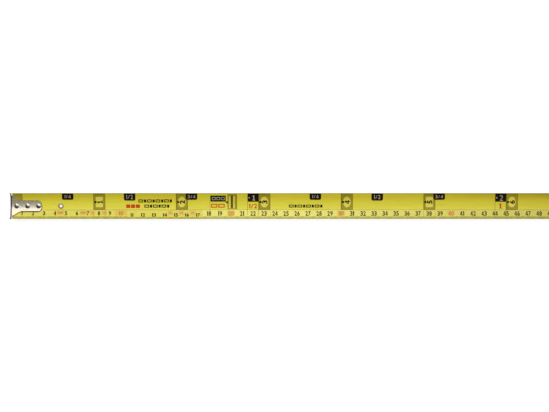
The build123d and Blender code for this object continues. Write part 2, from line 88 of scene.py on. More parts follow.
def noise(nt, vec, scale, detail=3.0, rough=0.5):
    n = nt.nodes.new("ShaderNodeTexNoise")
    n.inputs["Scale"].default_value = scale
    n.inputs["Detail"].default_value = detail
    n.inputs["Roughness"].default_value = rough
    nt.links.new(vec, n.inputs["Vector"])
    return n.outputs[0]


def ramp(nt, fac, stops):
    r = nt.nodes.new("ShaderNodeValToRGB")
    el = r.color_ramp.elements
    while len(el) > len(stops):
        el.remove(el[-1])
    while len(el) < len(stops):
        el.new(0.5)
    for e, (p, c) in zip(el, stops):
        e.position = p
        e.color = (*c, 1.0)
    nt.links.new(fac, r.inputs[0])
    return r.outputs[0]


def remap(nt, fac, lo, hi, f0=0.3, f1=0.7):
    m = nt.nodes.new("ShaderNodeMapRange")
    m.inputs["From Min"].default_value = f0
    m.inputs["From Max"].default_value = f1
    m.inputs["To Min"].default_value = lo
    m.inputs["To Max"].default_value = hi
    nt.links.new(fac, m.inputs["Value"])
    return m.outputs[0]


def mix(nt, fac, a, b, mode="MIX"):
    m = nt.nodes.new("ShaderNodeMix")
    m.data_type = "RGBA"
    m.blend_type = mode
    if isinstance(fac, float):
        m.inputs[0].default_value = fac
    else:
        nt.links.new(fac, m.inputs[0])
    for sock, v in ((m.inputs[6], a), (m.inputs[7], b)):
        if isinstance(v, tuple):
            sock.default_value = (*v, 1.0)
        else:
            nt.links.new(v, sock)
    return m.outputs[2]


def bump(nt, b, height, dist, strength=1.0, prev=None):
    n = nt.nodes.new("ShaderNodeBump")
    n.inputs["Distance"].default_value = dist
    n.inputs["Strength"].default_value = strength
    nt.links.new(height, n.inputs["Height"])
    if prev is not None:
        nt.links.new(prev, n.inputs["Normal"])
    nt.links.new(n.outputs[0], b.inputs["Normal"])
    return n.outputs[0]


def lin(r, g, b):
    """sRGB 0-255 to linear"""
    def f(c):
        c /= 255.0
        return c / 12.92 if c <= 0.04045 else ((c + 0.055) / 1.055) ** 2.4
    return (f(r), f(g), f(b))


def scaled(c, k):
    return tuple(min(1.0, x * k) for x in c)


def xyz(nt):
    tc = nt.nodes.new("ShaderNodeTexCoord")
    sp = nt.nodes.new("ShaderNodeSeparateXYZ")
    nt.links.new(tc.outputs["Object"], sp.inputs[0])
    return sp.outputs


def times(nt, a, b):
    m = nt.nodes.new("ShaderNodeMath")
    m.operation = "MULTIPLY"
    for sock, v in ((m.inputs[0], a), (m.inputs[1], b)):
        if isinstance(v, (int, float)):
            sock.default_value = v
        else:
            nt.links.new(v, sock)
    return m.outputs[0]


def print_mat(name, c, rough=0.42, vary=0.10, coat=0.10, along=True, spec=0.3, painted_shade_to_case=0.0):
    """ink or lacquer under a thin clear coat"""
    m, nt, b = new_mat(name)
    v = coords(nt, (1.0, 4.0, 4.0) if along else (1, 1, 1))
    n1 = noise(nt, v, 60.0, 4.0, 0.6)
    n2 = noise(nt, coords(nt), 2600.0, 2.0, 0.5)
    col = ramp(nt, n1, [(0.30, scaled(c, 1 - vary)), (0.70, scaled(c, 1 + vary))])
    col = mix(nt, remap(nt, n2, 0.0, 0.10), col, scaled(c, 0.6))
    # painted shade: when this is set, the ink darkens towards the case end
    if painted_shade_to_case:
        col = mix(nt, remap(nt, xyz(nt)[0], 0.0, painted_shade_to_case, -0.30, -0.04), col, (c[0] * 0.60, c[1] * 0.56, c[2] * 0.30))
    nt.links.new(col, b.inputs["Base Color"])
    nt.links.new(remap(nt, n1, rough - 0.05, rough + 0.06), b.inputs["Roughness"])
    b.inputs["Coat Weight"].default_value = coat
    b.inputs["Coat Roughness"].default_value = 0.25
    b.inputs["Specular IOR Level"].default_value = spec
    bump(nt, b, n2, 0.00001, 0.5)
    return m


YEL = (0.780, 0.705, 0.042)
PALE_A = (0.745, 0.672, 0.080)
PALE_B = (0.860, 0.790, 0.160)


def blade_mat():
    m, nt, b = new_mat("blade_lacquer")
    long = coords(nt, (0.6, 6.0, 6.0))
    n1 = noise(nt, long, 70.0, 4.0, 0.55)
    n2 = noise(nt, coords(nt, (0.05, 1, 1)), 1800.0, 3.0, 0.6)
    n3 = noise(nt, coords(nt), 3000.0, 2.0, 0.5)
    col = ramp(nt, n1, [(0.28, scaled(YEL, 0.93)), (0.50, YEL), (0.74, scaled(YEL, 1.05))])
    col = mix(nt, remap(nt, n2, 0.0, 0.12), col, scaled(YEL, 0.72))
    # tones fitted to the photo: warmer and a little darker in a broad stripe above the middle; painted shade, darker
    # towards the case and along the upper part near the hook and near the case
    p = xyz(nt)
    stripe = times(nt, remap(nt, p[1], 0.0, 1.0, 0.0030, 0.0075), remap(nt, p[1], 1.0, 0.35, 0.0090, 0.0115))
    patchy = remap(nt, noise(nt, coords(nt, (1, 0, 0)), 9.0, 1.0, 0.4), 0.15, 0.85, 0.35, 0.65)
    col = mix(nt, times(nt, stripe, patchy), col, (0.760, 0.590, 0.030))
    # painted shade: darker towards the case end
    case_end_painted_shade = remap(nt, p[0], 0.0, 0.45, -0.30, -0.04)
    col = mix(nt, case_end_painted_shade, col, (0.58, 0.46, 0.008))
    # painted shade: darker along the upper part near the hook end
    hook_end_painted_shade = times(nt, remap(nt, p[0], 0.75, 0.0, -0.545, -0.400), remap(nt, p[1], 0.0, 1.0, 0.0040, 0.0115))
    col = mix(nt, hook_end_painted_shade, col, (0.60, 0.54, 0.030))
    # painted shade: darker along the upper part near the case end
    inner = times(nt, remap(nt, p[0], 0.0, 0.8, -0.20, -0.05), remap(nt, p[1], 0.0, 1.0, 0.0050, 0.0115))
    col = mix(nt, inner, col, (0.40, 0.33, 0.020))
    # the back of the strip is bare rolled stainless steel
    geo = nt.nodes.new("ShaderNodeNewGeometry")
    facing = nt.nodes.new("ShaderNodeSeparateXYZ")
    nt.links.new(geo.outputs["True Normal"], facing.inputs[0])
    back = remap(nt, facing.outputs[2], 1.0, 0.0, -0.45, -0.25)
    rolled = noise(nt, coords(nt, (0.03, 1, 1)), 2400.0, 3.0, 0.6)
    steel = ramp(nt, rolled, [(0.30, (0.24, 0.235, 0.225)), (0.70, (0.36, 0.355, 0.345))])
    col = mix(nt, back, col, steel)
    nt.links.new(col, b.inputs["Base Color"])
    nt.links.new(back, b.inputs["Metallic"])
    nt.links.new(remap(nt, n2, 0.34, 0.48), b.inputs["Roughness"])
    b.inputs["Coat Weight"].default_value = 0.12
    b.inputs["Coat Roughness"].default_value = 0.22
    b.inputs["Specular IOR Level"].default_value = 0.3
    first = bump(nt, b, n2, 0.00002, 0.35)
    bump(nt, b, n3, 0.00001, 0.3, first)
    return m


def steel_mat(name, c, rough, stretch=(1, 1, 1), scale=900.0, mottle=0.25, bumps=0.4, metal=1.0):
    m, nt, b = new_mat(name)
    n1 = noise(nt, coords(nt, stretch), scale, 4.0, 0.6)
    n2 = noise(nt, coords(nt), scale * 0.55, 3.0, 0.65)
    col = ramp(nt, n2, [(0.35, scaled(c, 1 - mottle)), (0.62, c), (0.80, scaled(c, 1.08))])
    nt.links.new(col, b.inputs["Base Color"])
    b.inputs["Metallic"].default_value = metal
    nt.links.new(remap(nt, n1, rough - 0.08, rough + 0.10), b.inputs["Roughness"])
    bump(nt, b, n1, 0.00003, bumps)
    return m


def plastic_mat(name, c, rough, grain=2200.0, depth=0.00004, gloss_coat=0.0):
    m, nt, b = new_mat(name)
    n1 = noise(nt, coords(nt), grain, 2.0, 0.5)
    n2 = noise(nt, coords(nt), 45.0, 4.0, 0.6)
    n3 = noise(nt, coords(nt), 420.0, 3.0, 0.7)
    col = ramp(nt, n2, [(0.30, scaled(c, 0.92)), (0.72, scaled(c, 1.04))])
    col = mix(nt, remap(nt, n3, 0.0, 0.16, 0.55, 0.80), col, scaled(c, 0.7))
    nt.links.new(col, b.inputs["Base Color"])
    nt.links.new(remap(nt, n2, rough - 0.06, rough + 0.08), b.inputs["Roughness"])
    b.inputs["Coat Weight"].default_value = gloss_coat
    b.inputs["Coat Roughness"].default_value = 0.15
    bump(nt, b, n1, depth, 0.6)
    return m


def rubber_mat(name, c, rough=0.62):
    m, nt, b = new_mat(name)
    n1 = noise(nt, coords(nt), 1500.0, 3.0, 0.55)
    n2 = noise(nt, coords(nt), 60.0, 5.0, 0.65)
    n3 = noise(nt, coords(nt), 300.0, 4.0, 0.7)
    col = ramp(nt, n2, [(0.30, scaled(c, 0.8)), (0.70, scaled(c, 1.25))])
    col = mix(nt, remap(nt, n3, 0.0, 0.22, 0.56, 0.85), col, (0.11, 0.105, 0.095))
    nt.links.new(col, b.inputs["Base Color"])
    nt.links.new(remap(nt, n3, rough - 0.08, rough + 0.12), b.inputs["Roughness"])
    b.inputs["Specular IOR Level"].default_value = 0.35
    bump(nt, b, n1, 0.00006, 0.7)
    return m


def hook_mat():
    """shiny pressed sheet, speckled by wear; painted shade on the top of the outer fold, a painted highlight on the
    upper flare and a painted shadow line along the lower edge of the tongue
    """
    c = (0.60, 0.56, 0.43)
    m, nt, b = new_mat("hook_plate")
    n1 = noise(nt, coords(nt), 1500.0, 3.0, 0.65)
    n2 = noise(nt, coords(nt, (1, 2, 1)), 520.0, 4.0, 0.7)
    n3 = noise(nt, coords(nt), 90.0, 3.0, 0.5)
    col = ramp(nt, n2, [(0.36, scaled(c, 0.50)), (0.50, scaled(c, 0.88)), (0.68, scaled(c, 1.08))])
    col = mix(nt, remap(nt, n1, 0.0, 0.45, 0.50, 0.72), col, scaled(c, 0.45))
    col = mix(nt, remap(nt, n3, 0.0, 0.25), col, (0.62, 0.54, 0.40))
    p = xyz(nt)
    comb = nt.nodes.new("ShaderNodeCombineXYZ")
    nt.links.new(p[1], comb.inputs[1])
    nt.links.new(p[2], comb.inputs[2])
    dist = nt.nodes.new("ShaderNodeVectorMath")
    dist.operation = "DISTANCE"
    dist.inputs[1].default_value = (0, 0, AX_Z * MM)
    nt.links.new(comb.outputs[0], dist.inputs[0])
    # painted shade on the top of the outer fold of the plate
    bend_painted_shade = times(nt, remap(nt, p[0], 1.0, 0.0, ZERO * MM + 0.0006, ZERO * MM + 0.0012), remap(nt, dist.outputs["Value"], 1.0, 0.0, 0.0195, 0.0206))
    col = mix(nt, bend_painted_shade, col, (0.085, 0.070, 0.055))
    # painted highlight on the upper flare beside the tongue
    ear = times(nt, remap(nt, p[1], 0.0, 0.85, 0.0050, 0.0066), remap(nt, p[0], 0.0, 1.0, ZERO * MM + 0.0004, ZERO * MM + 0.0012))
    col = mix(nt, ear, col, (0.97, 0.88, 0.70))
    # painted shadow line along the lower edge of the tongue
    rim_painted_shadow_y = remap(nt, p[1], 1.0, 0.0, -0.00470, -0.00435)
    rim_painted_shadow_x = times(nt, remap(nt, p[0], 0.0, 1.0, (ZERO + 8.0) * MM, (ZERO + 10.0) * MM), remap(nt, p[0], 1.0, 0.0, (ZERO + 24.2) * MM, (ZERO + 25.4) * MM))
    col = mix(nt, times(nt, rim_painted_shadow_y, rim_painted_shadow_x), col, (0.13, 0.11, 0.055))
    nt.links.new(col, b.inputs["Base Color"])
    b.inputs["Metallic"].default_value = 1.0
    nt.links.new(remap(nt, n2, 0.22, 0.44), b.inputs["Roughness"])
    first = bump(nt, b, n1, 0.00003, 0.5)
    bump(nt, b, n2, 0.00005, 0.35, first)
    return m


def rivet_mat():
    """darker heads, with painted shade over most of each head and a painted highlight on its side towards +y and +x"""
    m, nt, b = new_mat("rivet_head")
    n1 = noise(nt, coords(nt), 1200.0, 4.0, 0.6)
    n2 = noise(nt, coords(nt), 700.0, 3.0, 0.65)
    # painted shade and painted highlight tones of the heads
    painted_shade_tone = ramp(nt, n2, [(0.35, (0.13, 0.105, 0.08)), (0.66, (0.24, 0.21, 0.17))])
    painted_highlight_tone = ramp(nt, n2, [(0.30, (0.46, 0.42, 0.36)), (0.60, (0.72, 0.68, 0.60))])
    p = xyz(nt)
    own = nt.nodes.new("ShaderNodeMath")
    own.operation = "WRAP"
    nt.links.new(p[0], own.inputs[0])
    first = (ZERO + 5.3) * MM
    own.inputs[1].default_value = first + 0.004975
    own.inputs[2].default_value = first - 0.004975
    slant = nt.nodes.new("ShaderNodeMath")
    slant.operation = "MULTIPLY_ADD"
    nt.links.new(own.outputs[0], slant.inputs[0])
    slant.inputs[1].default_value = 0.45
    nt.links.new(p[1], slant.inputs[2])
    off = 0.45 * first
    # the painted highlight lies towards +y and +x on each head, painted shade on the rest
    col = mix(nt, remap(nt, slant.outputs[0], 0.0, 1.0, off + 0.0005, off + 0.0014), painted_shade_tone, painted_highlight_tone)
    nt.links.new(col, b.inputs["Base Color"])
    b.inputs["Metallic"].default_value = 1.0
    nt.links.new(remap(nt, n1, 0.12, 0.30), b.inputs["Roughness"])
    bump(nt, b, n1, 0.00002, 0.3)
    return m


def spun_mat(name, c, axis_z):
    """metal disc turned on a lathe: fine rings about its own axis"""
    m, nt, b = new_mat(name)
    p = xyz(nt)
    comb = nt.nodes.new("ShaderNodeCombineXYZ")
    nt.links.new(p[0], comb.inputs[0])
    nt.links.new(p[2], comb.inputs[2])
    d = nt.nodes.new("ShaderNodeVectorMath")
    d.operation = "DISTANCE"
    d.inputs[1].default_value = (0, 0, axis_z * MM)
    nt.links.new(comb.outputs[0], d.inputs[0])
    rad = nt.nodes.new("ShaderNodeCombineXYZ")
    nt.links.new(d.outputs["Value"], rad.inputs[0])
    rings = noise(nt, rad.outputs[0], 2600.0, 4.0, 0.75)
    wide = noise(nt, rad.outputs[0], 420.0, 3.0, 0.6)
    stain = noise(nt, coords(nt), 55.0, 4.0, 0.6)
    col = ramp(nt, rings, [(0.30, scaled(c, 0.62)), (0.52, c), (0.72, scaled(c, 1.18))])
    col = mix(nt, remap(nt, wide, 0.0, 0.45, 0.40, 0.70), col, scaled(c, 0.70))
    col = mix(nt, remap(nt, stain, 0.0, 0.30, 0.45, 0.75), col, scaled(c, 0.72))
    nt.links.new(col, b.inputs["Base Color"])
    b.inputs["Metallic"].default_value = 1.0
    nt.links.new(remap(nt, rings, 0.26, 0.42), b.inputs["Roughness"])
    bump(nt, b, rings, 0.00004, 0.6)
    return m


M_BLADE = blade_mat()
M_PALE = print_mat("scale_band_a", PALE_A, 0.42, 0.05)
M_PALE2 = print_mat("scale_band_b", PALE_B, 0.42, 0.05, painted_shade_to_case=0.75)
M_OLIVE = print_mat("course_tint", lin(160, 148, 30), 0.50, 0.12, 0.0, spec=0.2)
# course-box edge print, also used for the painted shade along both edges of the blade
M_EDGE = print_mat("course_edge_and_edge_shade", lin(126, 112, 18), 0.50, 0.12, 0.0, spec=0.2)
M_LIGHT = print_mat("course_light", lin(228, 214, 78), 0.45, 0.06)
M_BLACK = print_mat("black_ink", lin(31, 21, 2), 0.55, 0.15, 0.0, spec=0.08)
M_WHITE = print_mat("white_ink", lin(195, 189, 160), 0.50, 0.06, 0.0)
M_RED = print_mat("red_ink", lin(202, 72, 8), 0.55, 0.08, 0.0, spec=0.1)
M_ORANGE = print_mat("soft_red_ink", lin(200, 122, 50), 0.55, 0.08, 0.0, spec=0.1)
M_SOFT = print_mat("soft_dash", lin(208, 158, 72), 0.55, 0.08, 0.0, spec=0.1)
M_ORANGE2 = print_mat("soft_red_ink_b", lin(206, 138, 62), 0.55, 0.08, 0.0, spec=0.1, painted_shade_to_case=0.4)
M_TINT = print_mat("tint_ink", lin(226, 192, 90), 0.55, 0.05, 0.0, spec=0.2)
# painted shadow of the tongue of the hook, laid on the blade
M_TONGUE_SHADOW = print_mat("tongue_painted_shadow", lin(88, 76, 26), 0.60, 0.35, 0.0, spec=0.2)
M_HOOK = hook_mat()
M_RIVET = rivet_mat()
M_BRASS = steel_mat("eyelet", (0.42, 0.33, 0.18), 0.30, (1, 1, 1), 1500.0, 0.35, 0.4)
M_CASE = plastic_mat("case_shell", lin(214, 176, 34), 0.42, 2400.0, 0.00005)
M_INNER = plastic_mat("inner_plastic", (0.035, 0.035, 0.038), 0.5, 2000.0)
M_LOCK = plastic_mat("lock_button", (0.018, 0.018, 0.020), 0.30, 2600.0, 0.00002, 0.3)
M_RUBBER = rubber_mat("grip_rubber", (0.022, 0.022, 0.024))
M_PAD = rubber_mat("pad_rubber", (0.018, 0.018, 0.018), 0.7)
M_PLATE = spun_mat("side_plate", (0.50, 0.50, 0.51), 39.7)
M_SCREW = steel_mat("screw", (0.30, 0.30, 0.32), 0.34, (1, 1, 1), 1400.0, 0.25, 0.4)
M_CLIP = steel_mat("belt_clip", (0.40, 0.40, 0.41), 0.32, (40, 1, 1), 200.0, 0.12, 0.5)
M_STEEL = steel_mat("inner_steel", (0.42, 0.42, 0.44), 0.35, (1, 30, 1), 200.0, 0.15, 0.4)

use = {
    "case_shell_left": M_CASE, "case_shell_right": M_CASE, "rubber_grip_left": M_RUBBER, "rubber_grip_right": M_RUBBER,
    "side_plate": M_PLATE, "base_pad": M_PAD, "mouth_guide": M_INNER, "hook_bumper": M_PAD, "spindle": M_STEEL,
    "case_screws": M_SCREW, "belt_clip": M_CLIP, "clip_screw": M_SCREW, "blade_lead": M_BLADE, "blade_drum": M_INNER,
    "drum_cover": M_INNER, "wound_blade": M_BLADE, "power_spring": M_STEEL, "blade_tip": M_BLADE, "blade_strip": M_BLADE,
    "hook_rivets": M_RIVET, "nail_eyelet": M_BRASS, "end_hook": M_HOOK, "thumb_lock": M_LOCK, "brake_pad": M_PAD,
}
for name, mat in use.items():
    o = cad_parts[name]
    o.data.materials.clear()
    o.data.materials.append(mat)


# ------------------------------------------------------------------ blade run
def mesh_obj(name, verts, faces, mat, smooth=True):
    me = bpy.data.meshes.new(name)
    me.from_pydata([tuple(c * MM for c in v) for v in verts], [], faces)
    me.validate()
    me.materials.append(mat)
    o = bpy.data.objects.new(name, me)
    bpy.context.scene.collection.objects.link(o)
    if smooth:
        for p in me.polygons:
            p.use_smooth = True
    return o


def blade_run():
    n = 28
    xs = [TIP_X + i * (TROUGH_END - TIP_X) / 20 for i in range(21)]
    xs += [TROUGH_END + (FLAT_X - TROUGH_END) * i / 8 for i in range(1, 9)]
    verts, faces = [], []
    for x in xs:
        f = 0.0 if x <= TROUGH_END else (x - TROUGH_END) / (FLAT_X - TROUGH_END)
        lo, hi = [], []
        for k in range(n + 1):
            a = -HALF + 2 * HALF * k / n
            flat_y = a / HALF * 12.5
            for r, dz, row in ((R_OUT, -B_T / 2, lo), (R_IN, B_T / 2, hi)):
                y, z = r * math.sin(a), AX_Z - r * math.cos(a)
                row.append((x, y + (flat_y - y) * f, z + (FLAT_Z + dz - z) * f))
        verts += lo + hi[::-1]
    m = 2 * (n + 1)
    for i in range(len(xs) - 1):
        for k in range(m):
            a, b = i * m + k, i * m + (k + 1) % m
            faces.append((a, a + m, b + m, b))
    faces.append(tuple(range(m)))
    faces.append(tuple((len(xs) - 1) * m + k for k in reversed(range(m))))
    o = mesh_obj("blade_run", verts, faces, M_BLADE)
    bm = bmesh.new()
    bm.from_mesh(o.data)
    bmesh.ops.recalc_face_normals(bm, faces=bm.faces)
    for e in bm.edges:
        if len(e.link_faces) == 2 and e.calc_face_angle(0) > 0.9:
            e.smooth = False
    bm.to_mesh(o.data)
    bm.free()
    return o


def follow(o):
    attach(o, "blade")
    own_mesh(o)
    return o


run = blade_run()
follow(run)
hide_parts("blade_strip")


# ------------------------------------------------------------------ printing
class Ink:
    """flat shapes in plan (x from zero, y across, mm) that are laid on the trough as one thin closed skin"""

    def __init__(self, name, mat, top, slot="blade_coat"):
        self.name, self.mat, self.top, self.slot = name, mat, top, slot
        self.v, self.f = [], []

    def poly(self, pts):
        n = len(self.v)
        self.v += [(x, y) for x, y in pts]
        self.f.append(tuple(range(n, n + len(pts))))

    def rect(self, x0, y0, x1, y1):
        self.poly([(x0, y0), (x1, y0), (x1, y1), (x0, y1)])

    def rrect(self, x0, y0, x1, y1, r, corners="abcd", n=5):
        """corners: a low-left, b low-right, c top-right, d top-left"""
        pts = []
        for tag, cx, cy, a0 in (("a", x0 + r, y0 + r, 180), ("b", x1 - r, y0 + r, 270), ("c", x1 - r, y1 - r, 0), ("d", x0 + r, y1 - r, 90)):
            if tag in corners:
                for k in range(n + 1):
                    a = math.radians(a0 + 90 * k / n)
                    pts.append((cx + r * math.cos(a), cy + r * math.sin(a)))
            else:
                pts.append({"a": (x0, y0), "b": (x1, y0), "c": (x1, y1), "d": (x0, y1)}[tag])
        self.poly(pts)

    def ellipse(self, cx, cy, rx, ry, n=28):
        self.poly([(cx + rx * math.cos(2 * math.pi * k / n), cy + ry * math.sin(2 * math.pi * k / n)) for k in range(n)])

    def frame(self, x0, y0, x1, y1, t):
        o = [(x0, y0), (x1, y0), (x1, y1), (x0, y1)]
        i = [(x0 + t, y0 + t), (x1 - t, y0 + t), (x1 - t, y1 - t), (x0 + t, y1 - t)]
        for k in range(4):
            self.poly([o[k], o[(k + 1) % 4], i[(k + 1) % 4], i[k]])

    def ring(self, cx, cy, ro, ri, n=24):
        for k in range(n):
            a, b = 2 * math.pi * k / n, 2 * math.pi * (k + 1) / n
            self.poly([(cx + ri * math.cos(a), cy + ri * math.sin(a)), (cx + ro * math.cos(a), cy + ro * math.sin(a)),
                       (cx + ro * math.cos(b), cy + ro * math.sin(b)), (cx + ri * math.cos(b), cy + ri * math.sin(b))])

    def text(self, s, cx, cy, h, w=None, turn=0.0, bold=0.0):
        """built-in figures; h and w are the drawn height and width"""
        cu = bpy.data.curves.new("t", "FONT")
        cu.body = s
        cu.size = 1.0
        cu.resolution_u = 4
        cu.offset = bold
        ob = bpy.data.objects.new("t", cu)
        bpy.context.scene.collection.objects.link(ob)
        dg = bpy.context.evaluated_depsgraph_get()
        dg.update()
        me = bpy.data.meshes.new_from_object(ob.evaluated_get(dg))
        vs = [(v.co.x, v.co.y) for v in me.vertices]
        fs = [tuple(p.vertices) for p in me.polygons]
        x0, x1 = min(v[0] for v in vs), max(v[0] for v in vs)
        y0, y1 = min(v[1] for v in vs), max(v[1] for v in vs)
        ky = h / (y1 - y0)
        kx = ky if w is None else w / (x1 - x0)
        a = math.radians(turn)
        n = len(self.v)
        for x, y in vs:
            px, py = (x - (x0 + x1) / 2) * kx, (y - (y0 + y1) / 2) * ky
            self.v.append((cx + px * math.cos(a) - py * math.sin(a), cy + px * math.sin(a) + py * math.cos(a)))
        self.f += [tuple(n + i for i in f) for f in fs]
        bpy.data.objects.remove(ob)
        bpy.data.curves.remove(cu)
        bpy.data.meshes.remove(me)

    def one(self, cx, cy, h, w, flag, serif=0.0):
        """the figure 1 as one outline: stem, flag and, if asked, a foot"""
        x0, x1, y0, y1 = cx - w / 2, cx + w / 2, cy - h / 2, cy + h / 2
        t = 0.13 * h
        pts = [(x0, y0), (x1, y0)] if not serif else [(cx - serif, y0), (cx + serif, y0), (cx + serif, y0 + t), (x1, y0 + t)]
        pts += [(x1, y1), (x0, y1), (x0 - flag, y1 - 0.20 * h), (x0 - flag, y1 - 0.34 * h), (x0, y1 - 0.20 * h)]
        if serif:
            pts += [(x0, y0 + t), (cx - serif, y0 + t)]
        self.poly(pts)

    def four(self, cx, cy, h, w, t, turn=0.0):
        """the figure 4 as bar, stem and slant that share their corners; t is the weight of the stem"""
        x1 = 0.85 * w
        x0, ya = x1 - t, 0.22 * h
        yb = ya + 0.85 * t
        long = math.hypot(x0, h - yb)
        xi, yi = 0.80 * t * long / (h - yb), h - 0.80 * t * long / x0
        a = math.radians(turn)
        for pts in ([(0, ya), (x0, ya), (x1, ya), (w, ya), (w, yb), (x1, yb), (x0, yb), (xi, yb), (0, yb)],
                    [(x0, 0), (x1, 0), (x1, ya), (x0, ya)],
                    [(x0, yb), (x1, yb), (x1, h), (x0, h), (x0, yi)],
                    [(0, yb), (xi, yb), (x0, yi), (x0, h)]):
            self.poly([(cx + (x - w / 2) * math.cos(a) - (y - h / 2) * math.sin(a),
                        cy + (x - w / 2) * math.sin(a) + (y - h / 2) * math.cos(a)) for x, y in pts])

    def number(self, s, cx, cy, h, wd, stem, gap, bold=0.02, flag=0.25):
        """figures of one width, set side by side, with a narrow 1"""
        w1 = stem + flag
        widths = [w1 if c == "1" else wd for c in s]
        x = cx - (sum(widths) + gap * (len(s) - 1)) / 2
        for c, w in zip(s, widths):
            if c == "1":
                self.one(x + flag + stem / 2, cy, h, stem, flag)
            elif c == "4":
                self.four(x + w / 2, cy, h, w, 0.76 * stem)
            else:
                self.text(c, x + w / 2, cy, h, w, bold=bold)
            x += w + gap

    def fraction(self, s, cx, cy, h, wd, stem, slash, gap, bold=0.0):
        """a/b on one line with a leaning stroke"""
        a, b = s.split("/")
        f = 0.28
        wa = stem + f if a == "1" else wd
        lean = 0.36 * h
        total = wa + gap + slash + lean + gap + wd
        x = cx - total / 2
        if a == "1":
            self.one(x + f + stem / 2, cy, h, stem, f)
        else:
            self.text(a, x + wa / 2, cy, h, wd, bold=bold)
        x += wa + gap
        self.poly([(x, cy - h / 2), (x + slash, cy - h / 2), (x + slash + lean, cy + h / 2), (x + lean, cy + h / 2)])
        x += slash + lean + gap
        if b == "4":
            self.four(x + wd / 2, cy, h, wd, 0.36)
        else:
            self.text(b, x + wd / 2, cy, h, wd, bold=bold)

    def lay(self):
        if not self.v:
            return
        bm = bmesh.new()
        vv = [bm.verts.new((ZERO + x, y, 0.0)) for x, y in self.v]
        for f in self.f:
            try:
                bm.faces.new([vv[i] for i in f])
            except ValueError:
                pass
        bmesh.ops.remove_doubles(bm, verts=bm.verts, dist=0.0005)
        bmesh.ops.dissolve_degenerate(bm, dist=0.0005, edges=bm.edges)
        bmesh.ops.recalc_face_normals(bm, faces=bm.faces)
        # cut into narrow rows so that the skin follows the trough, and at the end of the tip
        y = -12.0
        while y < 12.0:
            bmesh.ops.bisect_plane(bm, geom=bm.verts[:] + bm.edges[:] + bm.faces[:], plane_co=(0, y, 0), plane_no=(0, 1, 0), dist=1e-5)
            y += 0.8
        bmesh.ops.bisect_plane(bm, geom=bm.verts[:] + bm.edges[:] + bm.faces[:], plane_co=(TIP_X, 0, 0), plane_no=(1, 0, 0), dist=1e-5)
        bmesh.ops.remove_doubles(bm, verts=bm.verts, dist=0.003)
        bmesh.ops.dissolve_degenerate(bm, dist=0.003, edges=bm.edges)
        bm.normal_update()
        for f in bm.faces:
            if f.normal.z < 0:
                f.normal_flip()
        for part in ("tip", "run"):
            b2 = bm.copy()
            gone = [f for f in b2.faces if (f.calc_center_median().x < TIP_X) != (part == "tip")]
            bmesh.ops.delete(b2, geom=gone, context="FACES")
            if not b2.faces:
                b2.free()
                continue
            base = list(b2.faces)
            made = bmesh.ops.extrude_face_region(b2, geom=base)
            top = {v for v in made["geom"] if isinstance(v, bmesh.types.BMVert)}
            for f in base:
                if f.is_valid:
                    f.normal_flip()
            for v in b2.verts:
                v.co.z = surf(v.co.y) + (self.top if v in top else -0.05)
            bmesh.ops.recalc_face_normals(b2, faces=b2.faces)
            for v in b2.verts:
                v.co *= MM
            name = f"{self.name}_{part}"
            me = bpy.data.meshes.new(name)
            b2.to_mesh(me)
            b2.free()
            me.materials.append(self.mat)
            o = bpy.data.objects.new(name, me)
            bpy.context.scene.collection.objects.link(o)
            if part == "tip":
                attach(o, "blade")
            else:
                follow(o)
        bm.free()


# image rows of the drawing below are given as distance from the centre line: Y(px) turns a row of the 549 x 412 frame into mm
PXMM = 1.1004


def Y(row):
    return (206.15 - row) / PXMM


LENGTH = 529.0
SPLIT = 174.0
# painted shadow round the tongue of the hook
tongue_shadow_ink = Ink("hook_painted_shadow", M_TONGUE_SHADOW, 0.03)
band = Ink("scale_band_a", M_PALE, 0.02)
band2 = Ink("scale_band_b", M_PALE2, 0.02)
olive = Ink("course_tint", M_OLIVE, 0.035)
edge = Ink("course_edge_and_edge_shade", M_EDGE, 0.045)
black1 = Ink("black_marks", M_BLACK, 0.05)
light = Ink("course_light", M_LIGHT, 0.055)
white = Ink("white_figures", M_WHITE, 0.07)
red = Ink("red_marks", M_RED, 0.05)
orange = Ink("tenth_figures_a", M_ORANGE, 0.045)
orange2 = Ink("tenth_figures_b", M_ORANGE2, 0.045)
tint = Ink("tint_marks", M_TINT, 0.035)
soft = Ink("tint_dashes", M_SOFT, 0.045)
black2 = Ink("course_figures", M_BLACK, 0.075)

TOP = EDGE_Y - 0.10
BOT = -EDGE_Y + 0.10
DIV = Y(210.0)

band.rect(1.3, BOT, SPLIT, DIV)
band2.rect(SPLIT, BOT, LENGTH, DIV)

# centimetre figures and millimetre ticks
for mm in range(2, int(LENGTH)):
    h = 2.1 if mm % 5 else 2.4
    if mm % 10 == 0:
        h = 2.7
    if 105 < mm < 175:
        h = 1.55 if mm % 5 else 1.75
    black1.rect(mm - 0.19, BOT, mm + 0.19, BOT + h)
x = 1.6
while x < LENGTH:
    black1.rect(x, DIV - 0.14, x + 0.6, DIV + 0.14)
    x += 1.0
for cm in range(1, int(LENGTH // 10) + 1):
    ink = black1 if cm % 10 else (orange if cm == 10 else orange2)
    if cm < 11:
        cy, h = Y(213.4), 3.7
    elif cm < 18:
        cy, h = Y(215.1), 3.1
    else:
        cy, h = Y(213.6), 4.2
    ink.number(str(cm), cm * 10.0, cy, h, 2.25, 0.90, 0.38, 0.026)

# painted shade: a thin dark line along both edges
edge.rect(10.9, TOP - 0.30, LENGTH, TOP)
edge.rect(4.0, BOT - 0.08, LENGTH, BOT + 0.10)

